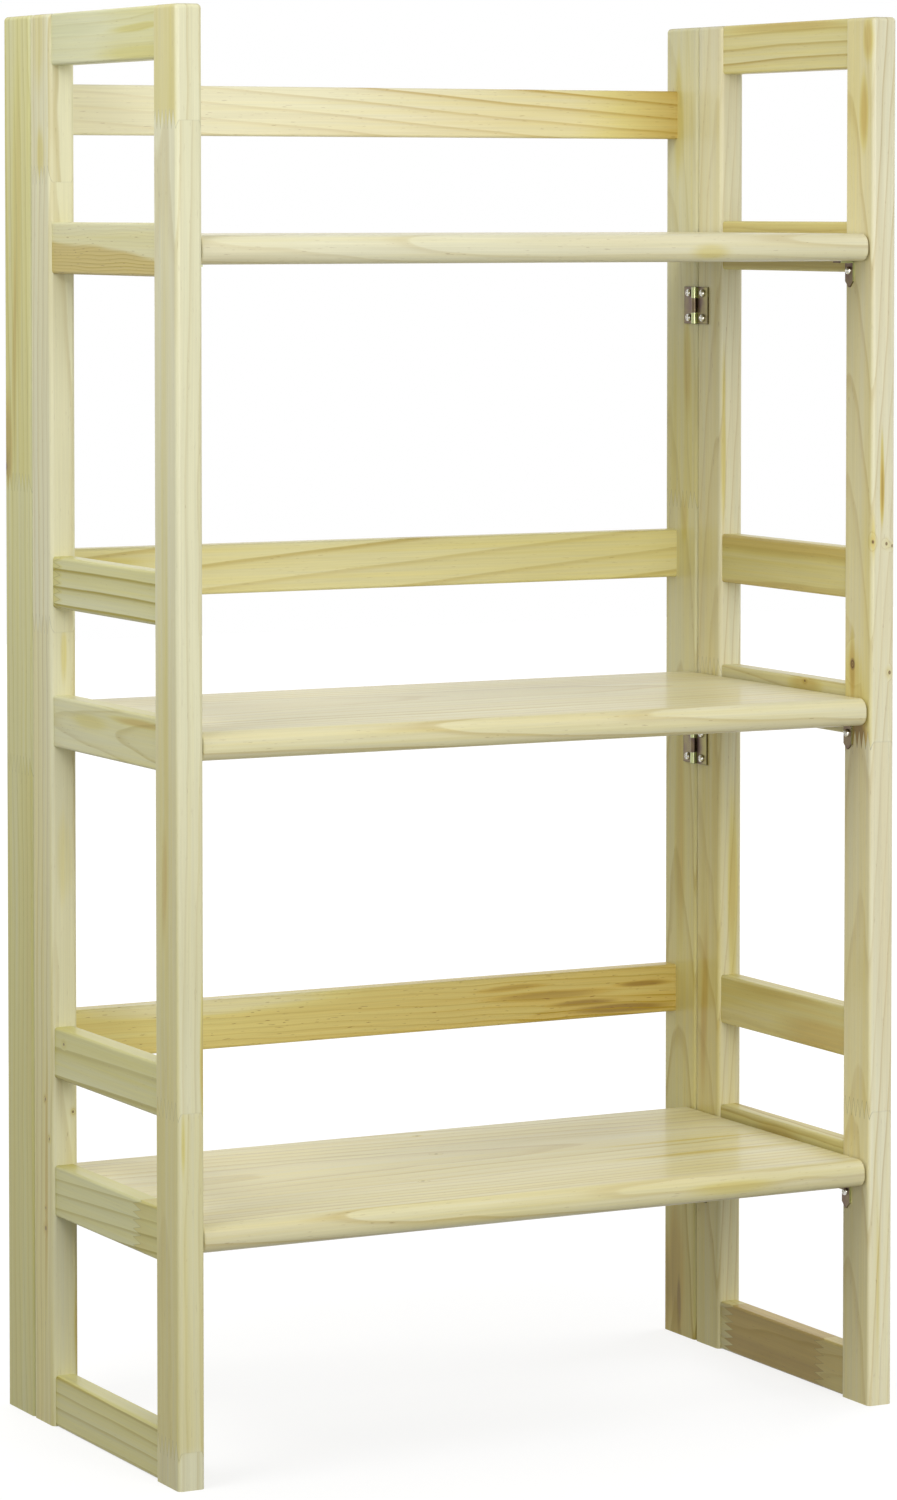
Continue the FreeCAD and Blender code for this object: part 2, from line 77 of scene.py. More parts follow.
# the node tree of a material or of the world
class Graph:
    def __init__(self, owner):
        self.owner = owner
        owner.use_nodes = True
        self.tree = owner.node_tree
        self.tree.nodes.clear()

    def node(self, kind, settings=None, inputs=None, output=0):
        made = self.tree.nodes.new("ShaderNode" + kind)
        for name, setting in (settings or {}).items():
            if name == "stops":
                setStops(made.color_ramp, setting)
            else:
                setattr(made, name, setting)
        for key, value in (inputs or {}).items():
            if isinstance(value, Value):
                self.tree.links.new(value.socket, made.inputs[key])
            else:
                made.inputs[key].default_value = value
        return Value(self, made.outputs[output])

    def finish(self, surface, kind="Material"):
        output = self.tree.nodes.new("ShaderNodeOutput" + kind)
        self.tree.links.new(surface.socket, output.inputs["Surface"])
        return self.owner

    def split(self, vector):
        first = self.node("SeparateXYZ", None, {0: vector})
        return [Value(self, socket) for socket in first.socket.node.outputs]

    def place(self):
        return self.split(self.node("TexCoord", None, None, "Object"))

    def facing(self):
        # how squarely the surface faces along each axis, either way
        return [abs(share) for share in self.split(self.node("TexCoord", None, None, "Normal"))]

    def ray(self, kind):
        return self.node("LightPath", None, None, f"Is {kind} Ray")

    def noise(self, x, y, z, detail=1.0):
        # a smooth random number from -0.5 to 0.5
        place = self.node("CombineXYZ", None, {0: x, 1: y, 2: z})
        inputs = {"Vector": place, "Scale": 1.0, "Detail": detail}
        return self.node("TexNoise", None, inputs) - 0.5

    def chance(self, number):
        # three random numbers from 0 to 1, a set of its own for each whole number
        settings = {"noise_dimensions": "1D"}
        return self.split(self.node("TexWhiteNoise", settings, {"W": number}, "Color"))

    def ramp(self, value, stops):
        return self.node("ValToRGB", {"stops": stops}, {0: value})

    def mix(self, share, first, second):
        # the Mix node's colour sockets are its inputs 6 and 7 and its output 2
        return self.node("Mix", {"data_type": "RGBA"}, {0: share, 6: first, 7: second}, 2)

    def scaled(self, colour, share):
        return self.node("VectorMath", {"operation": "SCALE"}, {0: colour, "Scale": share})

    def bump(self, strength, distance, height):
        inputs = {"Strength": strength, "Distance": distance, "Height": height}
        return self.node("Bump", None, inputs)


def setStops(ramp, stops):
    ends = (ramp.elements[0], ramp.elements[1])
    for element, (position, level) in zip(ends, (stops[0], stops[-1])):
        element.position = position
        element.color = (level, level, level, 1)
    for position, level in stops[1:-1]:
        ramp.elements.new(position).color = (level, level, level, 1)


def paint(red, green, blue):
    # a colour as a screen shows it, 0 to 255, made linear for the shader
    def linear(level):
        share = level / 255
        return share / 12.92 if share <= 0.04045 else ((share + 0.055) / 1.055) ** 2.4
    return (linear(red), linear(green), linear(blue), 1)


def distance(*parts):
    return sum(part * part for part in parts).math("SQRT")


# the pine: which axes run along the grain, across the wide face and through the board
boardAxes = {"stile": (2, 1, 0), "rail": (1, 2, 0), "slat": (0, 2, 1), "shelf": (0, 1, 2)}

pineColours = {
    # each in a white board, and in a green one
    "pale": ((233, 227, 199), (221, 221, 178)),
    "cloud": ((230, 215, 178), (206, 209, 160)),
    "straw": ((222, 207, 140), (210, 205, 130)),
    "amber": ((205, 175, 98), (196, 180, 96)),
    "brown": ((158, 126, 66), (144, 122, 60)),
    "line": ((182, 144, 56), (158, 146, 26)),
    "fleck": ((140, 98, 54), (130, 104, 54)),
    "knot": ((104, 68, 38), (100, 72, 38)),
}

# noise that is drawn out along the grain: ripples a metre across it and along it, detail, an
# offset through the board, and the axis on which each length is shifted, 0 across or 2 along
ripples = {
    "slow": (9, 2.5, 1.0, 0, 0),
    "quick": (50, 14, 1.0, 0, 0),
    "patch": (30, 4, 1.0, 5, 0),
    "band": (80, 1.6, 1.0, 0, 0),
    "streak": (260, 5, 2.0, 0, 0),
    "fibre": (900, 14, 1.0, 0, 2),
    "fleck": (1300, 130, 1.0, 0, 2),
}

# the finger joints, and the random numbers of the lengths and strips that are glued together
gluing = {
    "toothPitch": 0.0056,
    "toothDepth": 0.0125,
    "glueWidth": 0.001,
    "glueOnEdge": 0.12,         # how much of the glue shows on a narrow face
    "reach": 40,                # how far a length may be shifted in the noise
    "stripStep": 7,             # from the number of one strip to the next one's
    "yearStep": 13,             # and from a year's number in one length to the next one's
}

growth = {
    # how dark the wood is, from the start of a year's ring to its end
    "ringStops": [(0.0, 0.0), (0.4, 0.04), (0.76, 0.3), (0.9, 1.0), (0.96, 0.9), (1.0, 0.0)],
    "waves": (0.02, 0.004),     # metres that the slow and the quick ripples move a ring
    "leastYear": 0.45,          # how dark the palest year is, and how much darker others get
    "yearSpread": 0.6,
    "patchiness": 1.4,
    "heartPatches": 0.008,      # metres that the edge of the heartwood wanders
    "heartEdge": (-0.0015, 0.0025),
}

knotLook = {
    "squeeze": 0.75,            # a knot is longer along the grain than across it
    "edge": (0.6, 1.1),         # in radii, where it fades out
    "halo": (0.8, 4.5),         # and where the yellower wood round it does
    "yearsPerRadius": 2,
    "years": (0.55, 0.9),       # how dark the middle of a year is, and how fast that rises
    "bend": 0.006,              # metres that the growth rings give way round it
}

# sums of the parts of the grain, with the share of each
grainShares = {
    "tone": {"band": 0.9, "streak": 0.9, "halo": 0.45},
    "cloud": {"patch": -1.0, "band": -0.5},
    "flecks": {"late": 0.3, "heart": 0.15},
    "light": {"fibre": 0.16, "streak": 0.14},
    "roughness": {"fibre": 0.12, "end": 0.12},
    "height": {"fibre": 0.5, "late": 0.08, "fleck": -0.4, "glue": -0.6},
}

pine = {
    "paleEdge": 0.6,            # how much paler a stile's narrow faces are than its wide ones
    "paintedLowShade": 0.5,           # painted shade: how much yellower and darker the wood is painted a metre lower down, where less light reaches
    "plainHeight": 0.5,         # and the height where that changes nothing
    "stainWaves": (0.012, 0.004),   # like the growth rings' waves
    "stainEdge": (0.3, 1.0),    # in half lengths and half widths, where it fades out
    "fleckEdge": (0.19, 0.27),
    "cloudEdge": (-0.15, 0.35),
    "mostCloud": 0.8,
    "mostBrown": 0.9,
    "heartAmber": 0.85,
    "heartDepth": 0.75,         # how much darker the late wood is in the heartwood
    "endFacing": (0.6, 0.9),    # how squarely a face crosses the grain to show end grain
    "endShade": 0.16,
    "roughness": 0.42,
    "refraction": 1.45,
    "undercoatShine": 0.15,
    "coat": 0.28,
    "coatRoughness": 0.18,
    "bump": (0.35, 0.00025),    # strength, and its height in metres
}

plainBoard = {
    "kind": "stile",
    "seed": 1,
    "pith": (0.06, 0.03),       # the heart of the log, across and through from the board's middle
    "pithSpread": 0.03,         # how far it moves from one length of the board to the next
    "ringGap": 0.0075,
    "ringDepth": 0.4,           # how dark the late wood is, or stops along the board
    "shade": 1.0,               # painted light and shade: how much lighter or darker the whole board is painted, for more or less light falling on it, or stops along it
    "wander": 1.0,              # how wavy the rings are
    "tilt": 0.01,               # how far the rings drift over a metre of the board's length
    "joints": (),               # finger joints, in metres from the board's low end
    "glue": 0.42,               # how dark the glue in them is
    "tones": 0.4,               # 0 pale, 1 straw, 2 amber, 3 brown, or stops along the board
    "green": 0.4,               # from white sapwood to greenish
    "hearts": -1.0,             # radius of the dark heartwood, or stops along the board
    "flecks": 0.12,
    "stains": (),               # along, across, through, half length, half width, change of tone
    "knots": (),                # along, across, through, radius
    "strips": 0,                # width of the strips that a shelf is glued up from
}


# one board's wood: where a point is in the board, the parts of the grain there, and the material
class Board:
    def __init__(self, name, changes):
        self.look = {**plainBoard, **changes}
        self.graph = Graph(bpy.data.materials.new("pine_" + name))
        low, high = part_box(name)
        middle = (low + high) / 2
        place = self.graph.place()
        facing = self.graph.facing()
        alongAxis, acrossAxis, throughAxis = boardAxes[self.look["kind"]]
        self.length = high[alongAxis] - low[alongAxis]
        self.along = place[alongAxis] - low[alongAxis]
        self.across = place[acrossAxis] - middle[acrossAxis]
        self.through = place[throughAxis] - middle[throughAxis]
        self.height = place[2]
        self.edgeFacing = facing[acrossAxis]
        self.zero = self.along * 0
        self.findLength()
        self.parts = {kind: self.ripple(*numbers) for kind, numbers in ripples.items()}
        self.parts["fleck"] = self.parts["fleck"].rise(*pine["fleckEdge"])
        self.parts["end"] = facing[alongAxis].rise(*pine["endFacing"])
        self.addGlue(facing[throughAxis])
        self.addKnots()
        self.addRings()

    def findLength(self):
        # which length of the board a point is in, and random numbers of that length's own
        depth = gluing["toothDepth"]
        halfPitch = gluing["toothPitch"] / 2
        tooth = self.across.math("PINGPONG", halfPitch) / halfPitch
        self.toothed = self.along - (tooth - 0.5) * depth
        self.number = sum([self.toothed > joint for joint in self.look["joints"]], self.zero)
        self.piece = self.number + self.look["seed"]
        if self.look["strips"]:
            strip = (self.across / self.look["strips"]).floor()
            self.piece = self.piece + strip * gluing["stripStep"]
        self.draw = self.graph.chance(self.piece)
        self.shift = self.draw[2] * gluing["reach"]
        # a change along the board is gradual, but it follows the teeth at a joint
        near = [1 - abs(self.along - joint).rise(depth / 2, depth) for joint in self.look["joints"]]
        atJoint = sum(near, self.zero).clamped()
        self.spot = (self.along + (self.toothed - self.along) * atJoint) / self.length

    def ripple(self, wide, lengthways, detail, offset, shiftAxis):
        place = [self.across * wide, self.through * wide + offset, self.along * lengthways]
        place[shiftAxis] = place[shiftAxis] + self.shift
        return self.graph.noise(*place, detail)

    def addGlue(self, wideFacing):
        # the glued teeth, which show most on the wide faces
        lines = [1 - abs(self.toothed - joint).rise(0.0, gluing["glueWidth"])
                 for joint in self.look["joints"]]
        onEdge = gluing["glueOnEdge"]
        self.parts["glue"] = sum(lines, self.zero) * (wideFacing * (1 - onEdge) + onEdge)

    def addKnots(self):
        palest, darkness = knotLook["years"]
        self.parts["knot"] = self.zero
        self.parts["halo"] = self.zero
        for knotAlong, knotAcross, knotThrough, size in self.look["knots"]:
            apart = distance((self.along - knotAlong) * knotLook["squeeze"],
                             self.across - knotAcross, self.through - knotThrough) / size
            year = abs((apart * knotLook["yearsPerRadius"]).fraction() - 0.5) * darkness + palest
            inside = 1 - apart.rise(*knotLook["edge"])
            self.parts["knot"] = self.parts["knot"] + inside * year
            self.parts["halo"] = self.parts["halo"] + 1 - apart.rise(*knotLook["halo"])

    def addRings(self):
        # growth rings: cylinders round the heart of the log, which wander along the grain
        look = self.look
        patch = self.parts["patch"]
        spread = [(draw - 0.5) * look["pithSpread"] for draw in self.draw[:2]]
        radius = distance(self.across - look["pith"][0] - spread[0],
                          self.through - look["pith"][1] - spread[1])
        radius = radius + self.wave(growth["waves"]) * look["wander"] + self.along * look["tilt"]
        radius = radius + self.parts["halo"] * knotLook["bend"]
        rings = radius / look["ringGap"]
        year = self.graph.chance(rings.floor() + self.piece * gluing["yearStep"])[0]
        strength = year * growth["yearSpread"] + growth["leastYear"]
        strength = strength * (patch * growth["patchiness"] + 1)
        self.parts["late"] = self.graph.ramp(rings.fraction(), growth["ringStops"]) * strength
        inside = self.level(look["hearts"]) - radius + patch * growth["heartPatches"]
        self.parts["heart"] = inside.rise(*growth["heartEdge"])

    def wave(self, sizes):
        return self.parts["slow"] * sizes[0] + self.parts["quick"] * sizes[1]

    def level(self, stops):
        # one number for the whole board, or stops of a place along it and the number there
        if isinstance(stops, float):
            return self.zero + stops
        return self.graph.ramp(self.spot, [(place / self.length, level) for place, level in stops])

    def total(self, name):
        return sum(self.parts[part] * share for part, share in grainShares[name].items())

    def stain(self, across, stainAlong, stainAcross, stainThrough, halfLength, halfWidth):
        # a soft spindle along the grain, which ends where its length of the board does
        apart = distance((self.along - stainAlong) / halfLength,
                         (across - stainAcross) / halfWidth,
                         (self.through - stainThrough) / halfWidth)
        ownNumber = sum(stainAlong > joint for joint in self.look["joints"])
        elsewhere = abs(self.number - ownNumber).clamped()
        return (1 - apart.rise(*pine["stainEdge"])) * (1 - elsewhere)

    def hue(self, name):
        green = self.look["green"]
        return paint(*(first + (last - first) * green for first, last in zip(*pineColours[name])))

    def colour(self):
        # white and greenish sapwood, straw, heartwood, late wood, resin flecks and knots
        look = self.look
        late = self.parts["late"]
        heart = self.parts["heart"]
        tone = self.level(look["tones"]) + self.total("tone")
        # painted shade: lower down the wood is painted yellower and darker, for the light that falls off
        # there
        tone = tone + (pine["plainHeight"] - self.height) * pine["paintedLowShade"]
        if look["kind"] == "stile":
            tone = tone - self.edgeFacing * pine["paleEdge"]
        across = self.across + self.wave(pine["stainWaves"])
        for *shape, change in look["stains"]:
            tone = tone + self.stain(across, *shape) * change
        layers = {
            "cloud": self.total("cloud").rise(*pine["cloudEdge"]) * pine["mostCloud"],
            "straw": tone,
            "amber": (tone - 1).math("MAXIMUM", heart * pine["heartAmber"]),
            "brown": (tone - 2).clamped() * pine["mostBrown"],
            "line": late * (heart * pine["heartDepth"] + self.level(look["ringDepth"])),
            "fleck": self.parts["fleck"] * (self.total("flecks") + look["flecks"]),
            "knot": self.parts["knot"],
        }
        colour = self.hue("pale")
        for name, share in layers.items():
            colour = self.graph.mix(share.clamped(), colour, self.hue(name))
        # the grain's lighter fibres and streaks, times the board's painted light and shade
        light = (self.total("light") + 1) * self.level(look["shade"])
        shadow = self.parts["end"] * pine["endShade"] + self.parts["glue"] * look["glue"]
        return self.graph.scaled(colour, light * (1 - shadow))

    def material(self):
        surface = self.graph.node("BsdfPrincipled", None, {
            "Base Color": self.colour(),
            "Roughness": self.total("roughness") + pine["roughness"],
            "IOR": pine["refraction"],
            "Specular IOR Level": pine["undercoatShine"],
            "Coat Weight": pine["coat"],
            "Coat Roughness": pine["coatRoughness"],
            "Normal": self.graph.bump(*pine["bump"], self.total("height")),
        })
        return self.graph.finish(surface)


# distances are in metres: up from the foot of a stile, back from the front end of a rail,
# and to the right from the left end of a slat or shelf
# each board's "shade" is painted light and shade, lightening or darkening it where light falls on it more
# or less
boards = {
    "back_stile_left": {
        "seed": 3, "pith": (0.1, -0.03), "joints": (0.45, 0.645),
        "tones": ((0, 0.8), (0.3, 0.9), (0.449, 0.9), (0.451, 0.7), (0.644, 0.7), (0.646, 0.95)),
        "green": 0.9, "ringDepth": 0.35, "shade": ((0, 0.93), (0.35, 0.95), (0.6, 1.0), (0.96, 1.03)),
        "stains": ((0.82, 0.0, -0.0095, 0.14, 0.012, 0.5), (0.67, 0.015, -0.0095, 0.05, 0.01, 1.3),
                   (0.73, 0.004, -0.0095, 0.1, 0.005, 0.9)),
        "knots": ((0.655, 0.021, -0.0105, 0.003),)},
    "back_stile_right": {
        "seed": 5, "pith": (0.004, 0.05), "joints": (0.62,), "ringGap": 0.006, "green": 0.5,
        "wander": 0.8, "tilt": 0.05,
        "tones": ((0, 1.2), (0.12, 0.9), (0.2, 0.7), (0.44, 0.6), (0.5, 0.4), (0.619, 0.5), (0.621, 0.9),
                  (0.7, 0.9), (0.76, 0.5), (0.96, 0.5)),
        "stains": ((0.05, 0.004, -0.0095, 0.07, 0.016, 1.0), (0.38, 0.0, -0.0095, 0.12, 0.01, 0.9),
                   (0.035, 0.019, -0.0095, 0.06, 0.009, 1.1), (0.02, -0.001, -0.0095, 0.03, 0.004, 1.2),
                   (0.61, -0.006, -0.0095, 0.03, 0.008, 0.8), (0.9, 0.004, -0.0095, 0.06, 0.01, 0.8),
                   (0.72, -0.008, -0.0095, 0.05, 0.007, 0.8)),
        "shade": ((0, 1.13), (0.3, 1.07), (0.65, 1.05), (0.8, 0.94), (0.96, 0.88)),
        "ringDepth": ((0, 0.6), (0.4, 0.4), (0.6, 0.22), (0.96, 0.15))},
    "left_front_stile": {
        "seed": 7, "pith": (0.0, 0.06), "joints": (0.026, 0.248, 0.891), "green": 0.5, "ringGap": 0.009,
        "tones": ((0.025, 0.3), (0.027, 0.8), (0.247, 0.8), (0.249, 0.65), (0.45, 0.6),
                  (0.6, 0.25), (0.89, 0.2), (0.892, 1.05)),
        "stains": ((0.94, -0.02, 0.003, 0.2, 0.016, -1.6), (0.6, 0.0, -0.0095, 0.35, 0.007, 0.5),
                   (0.395, 0.004, -0.0095, 0.05, 0.005, 0.8),
                   (0.229, -0.018, -0.006, 0.035, 0.0025, 1.2),
                   (0.285, -0.018, 0.0085, 0.06, 0.0035, 1.5)),
        "ringDepth": 0.3, "shade": 0.97},
    "left_rear_stile": {
        "seed": 11, "pith": (-0.1, -0.03), "joints": (0.55, 0.856), "green": 0.5,
        "tones": ((0, 0.65), (0.3, 0.5), (0.549, 0.4), (0.551, 0.2), (0.855, 0.15), (0.857, 0.4)),
        "stains": ((0.95, 0.002, -0.0095, 0.05, 0.014, 0.6), (0.87, 0.0, -0.0095, 0.025, 0.009, 0.8),
                   (0.17, -0.006, -0.0095, 0.12, 0.0035, 1.0),
                   (0.53, -0.0165, 0.0, 0.03, 0.004, 0.9), (0.39, -0.0165, 0.0, 0.05, 0.009, 0.6),
                   (0.07, -0.0165, 0.0085, 0.07, 0.0035, 1.5)),
        "knots": ((0.224, -0.0044, -0.0095, 0.001), (0.1975, -0.011, -0.0095, 0.001),
                  (0.149, -0.0044, -0.0095, 0.0008), (0.135, -0.0044, -0.0095, 0.0014),
                  (0.216, -0.0165, 0.0058, 0.0009))},
    "right_front_stile": {
        "seed": 13, "pith": (0.0, 0.05), "joints": (0.207, 0.465), "green": 0.25, "ringGap": 0.006,
        "glue": 0.6, "tilt": 0.06, "wander": 0.8, "ringDepth": 0.32,
        "tones": ((0, 0.4), (0.3, 0.35), (0.44, 0.2), (0.464, -0.4), (0.466, 0.6), (0.8, 0.6),
                  (0.9, 0.8)),
        "shade": ((0, 1.12), (0.3, 1.04), (0.85, 1.0), (0.96, 0.96)),
        "stains": ((0.468, 0.004, -0.0095, 0.022, 0.0215, 1.8), (0.48, 0.004, -0.0095, 0.05, 0.0215, 0.8),
                   (0.4655, 0.003, -0.0095, 0.012, 0.0215, 1.3),
                   (0.9, -0.004, -0.0095, 0.035, 0.007, 1.3), (0.95, -0.01, -0.0095, 0.02, 0.009, 1.1),
                   (0.5166, 0.0063, -0.0095, 0.035, 0.005, 1.0), (0.65, -0.018, -0.001, 0.05, 0.0028, 2.6),
                   (0.603, -0.018, -0.0085, 0.03, 0.003, 1.0), (0.1, -0.018, -0.002, 0.09, 0.003, 0.7)),
        "knots": ((0.603, -0.018, -0.0085, 0.0014), (0.6015, -0.018, 0.0026, 0.0011),
                  (0.6, -0.018, 0.0074, 0.001), (0.512, -0.018, 0.0055, 0.0012),
                  (0.5166, 0.0063, -0.0095, 0.0035))},
    "right_rear_stile": {
        "seed": 17, "pith": (0.0, 0.05), "joints": (0.5,), "green": 0.3, "tilt": 0.05,
        "ringGap": 0.006, "wander": 0.8, "ringDepth": ((0, 0.45), (0.5, 0.3), (0.96, 0.2)),
        "tones": ((0, 0.7), (0.2, 0.8), (0.4, 0.9), (0.499, 0.6), (0.501, 0.5), (0.7, 0.5), (0.96, 0.4)),
        "shade": ((0, 1.08), (0.4, 1.02), (0.65, 1.05), (0.8, 0.94), (0.96, 0.9)),
        "stains": ((0.67, -0.0165, -0.0065, 0.1, 0.003, 1.4), (0.34, -0.0165, 0.002, 0.1, 0.006, 1.2),
                   (0.25, 0.004, -0.0095, 0.08, 0.006, 0.8))},
    "back_slat_top": {
        "kind": "slat", "seed": 19, "pith": (-0.12, 0.0), "pithSpread": 0.0, "ringGap": 0.0105,
        "ringDepth": ((0, 0.08), (0.15, 0.3), (0.3, 0.75), (0.508, 0.9)), "wander": 0.45,
        "tilt": 0.08, "green": 0.2, "flecks": 0.3,
        "tones": ((0, 0.0), (0.2, 0.1), (0.3, 0.35), (0.42, 0.75), (0.455, 1.2), (0.48, 1.65),
                  (0.508, 2.0)),
        "shade": ((0, 1.0), (0.44, 1.0), (0.47, 0.94), (0.508, 0.86))},
    "back_slat_middle": {
        "kind": "slat", "seed": 23, "pith": (-0.1561, 0.0), "pithSpread": 0.0, "ringGap": 0.0165,
        "ringDepth": 0.65, "wander": 0.25, "tilt": -0.09, "green": 0.45, "flecks": 0.2,
        "tones": ((0, 0.5), (0.1, 0.5), (0.2, 0.4), (0.4, 0.7), (0.508, 0.8)),
        "stains": ((0.03, 0.004, -0.0075, 0.06, 0.01, 0.6),)},
    "back_slat_bottom": {
        "kind": "slat", "seed": 29, "pith": (-0.09, 0.0), "pithSpread": 0.0, "ringGap": 0.0045,
        "wander": 1.3, "tilt": 0.03, "green": 0.3,
        "ringDepth": ((0, 0.2), (0.28, 0.35), (0.38, 0.7), (0.508, 0.8)),
        "hearts": ((0, 0.0), (0.3, 0.06), (0.4, 0.094), (0.508, 0.103)),
        "tones": ((0, 1.1), (0.1, 1.0), (0.25, 1.25), (0.4, 1.45), (0.508, 1.6)), "flecks": 0.7,
        "stains": ((0.13, 0.016, -0.0075, 0.14, 0.014, -0.8), (0.4, 0.0, -0.0075, 0.07, 0.005, 1.0),
                   (0.46, -0.013, -0.0075, 0.06, 0.005, 1.5), (0.43, -0.007, -0.0075, 0.04, 0.003, 1.2),
                   (0.48, 0.004, -0.0075, 0.03, 0.003, 1.3), (0.37, 0.008, -0.0075, 0.04, 0.003, 0.9))},
    "left_top_rail": {
        "seed": 50, "pith": (-0.1, 0.03), "green": 0.9, "ringDepth": 0.18,
        "tones": ((0, 0.8), (0.06, 0.6), (0.1, 0.25), (0.17, 0.2)),
        "stains": ((0.03, 0.005, -0.0075, 0.06, 0.0035, 0.9), (0.03, -0.011, -0.0075, 0.09, 0.007, 0.5))},
    "left_top_shelf_rail": {
        "seed": 52, "pith": (-0.05, 0.0), "pithSpread": 0.0, "hearts": ((0, 0.046), (0.17, 0.0585)),
        "ringGap": 0.0022, "wander": 1.6, "tones": 0.5, "ringDepth": 0.15, "green": 0.6, "flecks": 0.5},
    "left_upper_rail": {
        "seed": 54, "pith": (-0.1337, 0.0), "pithSpread": 0.0, "ringGap": 0.012, "ringDepth": 1.0,
        "wander": 0.25, "tilt": 0.0, "joints": (0.165,), "green": 0.9,
        "tones": ((0, 0.6), (0.155, 0.5), (0.165, 1.1))},
    "left_middle_shelf_rail": {
        "seed": 56, "pith": (0.002, 0.045), "pithSpread": 0.0, "ringGap": 0.00247, "wander": 0.3,
        "tilt": 0.027, "ringDepth": 0.36, "green": 0.7, "tones": ((0, 0.7), (0.1, 0.5), (0.15, 0.3)),
        "stains": ((0.03, 0.012, -0.0075, 0.06, 0.004, 1.3), (0.11, 0.005, -0.0075, 0.04, 0.008, 0.6))},
    "left_lower_rail": {
        "seed": 58, "pith": (-0.1271, 0.0), "pithSpread": 0.0, "ringGap": 0.0193, "ringDepth": 0.9,
        "wander": 0.15, "tilt": 0.0165, "tones": 0.6, "green": 0.9,
        "knots": ((0.155, 0.008, -0.0075, 0.0011),)},
    "left_bottom_shelf_rail": {
        "seed": 60, "pith": (-0.1222, 0.0), "pithSpread": 0.0, "ringGap": 0.01, "ringDepth": 0.9,
        "wander": 0.15, "tilt": 0.05, "joints": (0.034,), "green": 0.9,
        "tones": ((0, 1.0), (0.033, 1.3), (0.035, 0.5))},
    "left_bottom_rail": {
        "seed": 62, "pith": (-0.1097, 0.0), "pithSpread": 0.0, "ringGap": 0.0105, "ringDepth": 0.85,
        "wander": 0.4, "tilt": 0.0, "tones": 0.65, "green": 0.8},
    "right_top_rail": {
        "seed": 51, "pith": (-0.1, 0.01), "ringGap": 0.0095, "ringDepth": 0.7, "wander": 0.5,
        "tones": 1.0, "shade": 0.95, "stains": ((0.085, 0.014, -0.0075, 0.12, 0.005, 1.0),)},
    "right_top_shelf_rail": {"seed": 53, "tones": 1.4},
    "right_upper_rail": {
        "seed": 55, "pith": (-0.1, 0.02), "ringGap": 0.02, "ringDepth": 0.3, "tones": 0.85,
        "stains": ((0.1, 0.013, -0.0075, 0.3, 0.01, 0.9), (0.1, -0.018, -0.0075, 0.3, 0.008, 0.8))},
    "right_middle_shelf_rail": {
        "seed": 57, "tones": 0.6, "stains": ((0.055, 0.012, -0.0075, 0.03, 0.008, 1.0),),
        "knots": ((0.055, 0.015, -0.0075, 0.001),)},
    "right_lower_rail": {
        "seed": 59, "pith": (0.01, 0.06), "ringGap": 0.008, "tones": 0.85,
        "stains": ((0.03, -0.008, -0.0075, 0.08, 0.014, 0.9), (0.09, 0.014, -0.0075, 0.1, 0.005, 0.5))},
    "right_bottom_shelf_rail": {
        "seed": 61, "tones": 0.9, "ringDepth": 0.6, "stains": ((0.09, 0.01, -0.0075, 0.04, 0.008, 0.7),)},
    "right_bottom_rail": {
        "seed": 63, "pith": (0.0, 0.05), "joints": (0.033, 0.158), "ringDepth": 0.5, "green": 0.3,
        "ringGap": 0.005, "flecks": 0.3,
        "tones": ((0, 1.3), (0.032, 1.3), (0.034, 1.95), (0.157, 1.95), (0.159, 0.6))},
}
for name, changes in boards.items():
    if name.endswith("_rail"):
        changes["kind"] = "rail"

shelfMarks = {
    "bottom": {
        "knots": ((0.2735, 0.1026, 0.0095, 0.0012), (0.253, 0.0334, 0.0095, 0.0012),
                  (0.1984, -0.0526, 0.0095, 0.0012)),
        "stains": ((0.425, -0.043, 0.0095, 0.1, 0.005, 1.3), (0.43, 0.0, 0.0095, 0.1, 0.005, 0.9),
                   (0.4, -0.1275, 0.0, 0.05, 0.006, 0.7), (0.2, -0.1275, -0.004, 0.09, 0.004, 0.3))},
    "middle": {"knots": ((0.24, 0.118, 0.0095, 0.001),)},
    # the top shelf's "shade" is painted shade
    "top": {"stains": ((0.38, -0.1275, -0.003, 0.02, 0.008, 0.7),), "ringDepth": 0.3, "shade": 0.97},
}
for number, (level, marks) in enumerate(shelfMarks.items()):
    boards["shelf_" + level] = {
        "kind": "shelf", "seed": 31 + number, "strips": 0.052, "tones": 0.2, "green": 0.3,
        "pith": (0.02, -0.08), "ringDepth": 0.45, "tilt": 0.03, "flecks": 0.25, **marks}


def assign(name, material):
    for slot in nodes[name].material_slots:
        slot.material = material


for name, changes in boards.items():
    assign(name, Board(name, changes).material())
for name in ("left_frame_dowels", "right_frame_dowels", "back_frame_dowels"):
    # the dowels are hidden in the joints, so they take one rail's wood
    assign(name, bpy.data.materials["pine_left_top_rail"])
print("pine:", len(boards), "boards")


# metal: thin yellow-zinc sheet, bright screws and plain steel pins
metal = {
    "wearAndHighlight": paint(196, 204, 152),       # pale colour of the outer knuckles, partly a painted highlight and partly wear, and of the brackets' cut edges
    "edge": 0.45,                       # how dark the painted shade is along the rim and in the rings round the screws
    "rimShadeWidth": 0.0009,
    "bracketRimShade": 0.5,                  # how much of that painted shade a bracket's rim has
    "cutFacing": (0.6, 0.9),            # how squarely a bracket's cut edge faces along y
    "screwSetback": 0.0098,             # from the hinge's pin, along y
    "screwSpacing": 0.018,
    "screwShadeRing": (0.0026, 0.0036),      # radius of the painted shade ring round a screw head
    "knuckleRadius": 0.0021,
    "knuckleEdge": (0.9, 1.1),          # in radii
    "oliveReach": (0.005, 0.015),       # from the pin, where a leaf turns from plum to olive
    "cloudDetail": 3.0,
    "cloudRoughness": 0.2,
    "brush": (4000, 4000, 900),         # brush marks a metre along x, y and z
    "brushRoughness": 0.15,
    "bump": (0.2, 0.0001),
}

